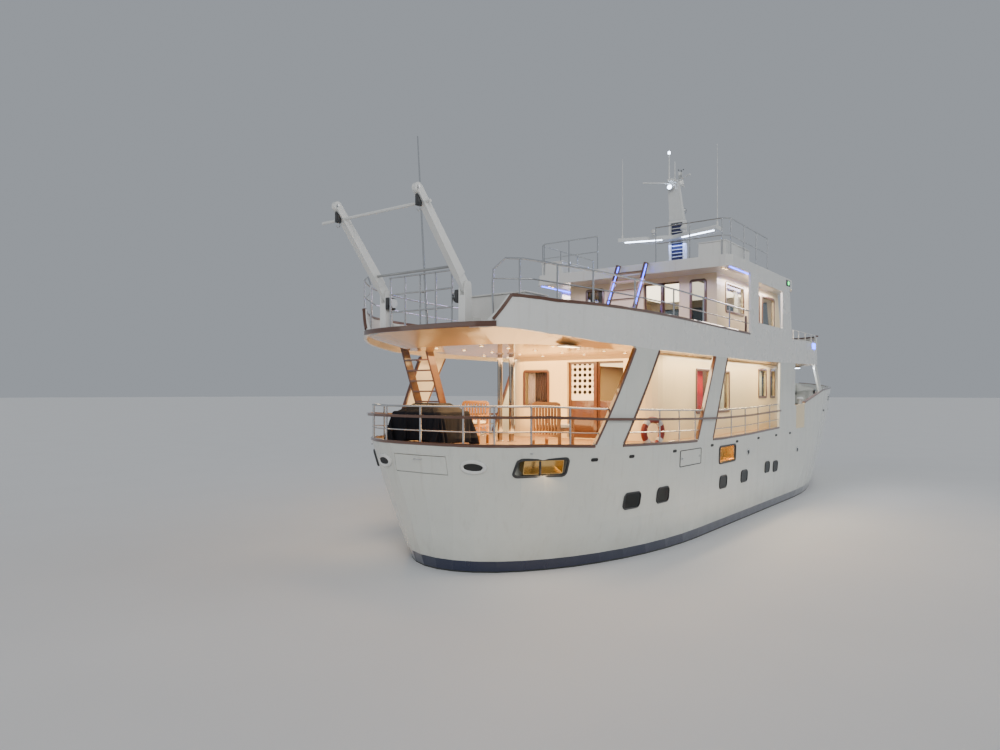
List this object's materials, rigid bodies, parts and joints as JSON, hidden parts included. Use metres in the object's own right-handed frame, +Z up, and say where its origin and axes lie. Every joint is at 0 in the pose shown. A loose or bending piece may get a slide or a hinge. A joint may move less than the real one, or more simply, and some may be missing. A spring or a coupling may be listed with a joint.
{
  "type": "motor yacht",
  "caption": "Displacement motor yacht: steel hull, open aft deck under a boat deck with davits, upper house, sun deck, mast, propellers and rudders.",
  "frame": {"origin": "on the centreline at the waterline, amidships", "axes": "+X to the bow, +Y to port, +Z up"},
  "size_m": [27.7716, 6.2252, 13.15],
  "materials": {
    "hull_paint": "glossy off-white topside paint, navy boot top and black antifouling",
    "white_paint": "glossy white paint",
    "cream_paint": "satin cream paint",
    "varnished_wood": "varnished",
    "stainless_steel": "polished stainless",
    "bronze": "cast bronze",
    "cover_cloth": "coated cover cloth",
    "teak": "oiled teak"
  },
  "bodies": {
    "yacht": {"hull": "hull_paint", "coaming": "hull_paint", "bow_bulwark": "hull_paint", "fashion_plate_starboard": "hull_paint", "fashion_plate_port": "hull_paint", "screen_pillar_starboard": "hull_paint", "screen_pillar_port": "hull_paint", "screen_forward_starboard": "hull_paint", "screen_forward_port": "hull_paint", "side_plate_starboard": "white_paint", "side_plate_port": "white_paint", "boat_deck": "white_paint", "bridge_bulwark": "white_paint", "upperhouse_front": "white_paint", "upper_screen_starboard": "white_paint", "upper_screen_port": "white_paint", "sun_deck": "white_paint", "mast": "white_paint", "mast_wing": "white_paint", "deckhouse_aft": "cream_paint", "deckhouse_side_starboard": "cream_paint", "deckhouse_side_port": "cream_paint", "deckhouse_front": "cream_paint", "upperhouse_aft": "cream_paint", "upperhouse_side_starboard": "cream_paint", "upperhouse_side_port": "cream_paint", "saloon_door_port": "varnished_wood", "upper_door_port": "varnished_wood", "cap_rail": "varnished_wood", "aft_stairs": "varnished_wood", "sun_deck_stairs": "varnished_wood", "stern_rail": "stainless_steel", "side_rail_aft_starboard": "stainless_steel", "side_rail_aft_port": "stainless_steel", "side_rail_fore_starboard": "stainless_steel", "side_rail_fore_port": "stainless_steel", "boat_rail_starboard": "stainless_steel", "boat_rail_port": "stainless_steel", "aft_rail": "stainless_steel", "sun_deck_rail_starboard": "stainless_steel", "sun_deck_rail_port": "stainless_steel", "column_starboard": "stainless_steel", "column_port": "stainless_steel", "windlass": "stainless_steel", "bow_anchor": "stainless_steel", "covered_table": "cover_cloth", "foredeck_cover": "cover_cloth", "deck_chair": "teak"},
    "propeller_starboard": {"propeller_starboard": "bronze"},
    "propeller_port": {"propeller_port": "bronze"},
    "rudder_starboard": {"rudder_starboard": "bronze"},
    "rudder_port": {"rudder_port": "bronze"},
    "davits": {"davit_frame": "white_paint"},
    "scanner": {"radar_scanner": "white_paint"},
    "saloon_door": {"saloon_door_starboard": "varnished_wood"},
    "upper_door": {"upper_door_starboard": "varnished_wood"},
    "transom_hatch": {"transom_hatch": "hull_paint"},
    "foredeck_hatch": {"foredeck_hatch": "white_paint"},
    "gate_starboard": {"bulwark_gate_starboard": "cream_paint"},
    "gate_port": {"bulwark_gate_port": "cream_paint"}
  },
  "joints": [
    {"name": "propeller_starboard_spin", "type": "hinge", "parent": "yacht", "child": "propeller_starboard", "pos_m": [-10.15, -1.1, -1.15], "axis": [1, 0, 0], "continuous": true},
    {"name": "propeller_port_spin", "type": "hinge", "parent": "yacht", "child": "propeller_port", "pos_m": [-10.15, 1.1, -1.15], "axis": [-1, 0, 0], "continuous": true},
    {"name": "rudder_starboard_turn", "type": "hinge", "parent": "yacht", "child": "rudder_starboard", "pos_m": [-11.15, -1.1, -0.76], "axis": [0, 0, 1], "range_deg": [-35, 35]},
    {"name": "rudder_port_turn", "type": "hinge", "parent": "yacht", "child": "rudder_port", "pos_m": [-11.15, 1.1, -0.76], "axis": [0, 0, 1], "range_deg": [-35, 35]},
    {"name": "davit_luff", "type": "hinge", "parent": "yacht", "child": "davits", "pos_m": [-13.22, 0, 5.4], "axis": [0, 1, 0], "range_deg": [-38, 32]},
    {"name": "scanner_turn", "type": "hinge", "parent": "yacht", "child": "scanner", "pos_m": [-0.96, 0, 10.43], "axis": [0, 0, 1], "continuous": true},
    {"name": "saloon_door_slide", "type": "slide", "parent": "yacht", "child": "saloon_door", "axis": [0, 1, 0], "range_m": [0, 0.76]},
    {"name": "upper_door_slide", "type": "slide", "parent": "yacht", "child": "upper_door", "axis": [0, 1, 0], "range_m": [0, 0.52]},
    {"name": "transom_hatch_swing", "type": "hinge", "parent": "yacht", "child": "transom_hatch", "pos_m": [-13.262, 0.07, 1.93], "axis": [0, -1, 0], "range_deg": [0, 92]},
    {"name": "foredeck_hatch_swing", "type": "hinge", "parent": "yacht", "child": "foredeck_hatch", "pos_m": [9, 0, 3.081], "axis": [0, 1, 0], "range_deg": [0, 80]},
    {"name": "gate_starboard_swing", "type": "hinge", "parent": "yacht", "child": "gate_starboard", "pos_m": [2.3, -3.06, 2.7], "axis": [0, 0, 1], "range_deg": [0, 95]},
    {"name": "gate_port_swing", "type": "hinge", "parent": "yacht", "child": "gate_port", "pos_m": [2.3, 3.06, 2.7], "axis": [0, 0, -1], "range_deg": [0, 95]}
  ],
  "couplings": [
    {"joint": "rudder_port_turn", "follows": "rudder_starboard_turn", "ratio": 1}
  ]
}
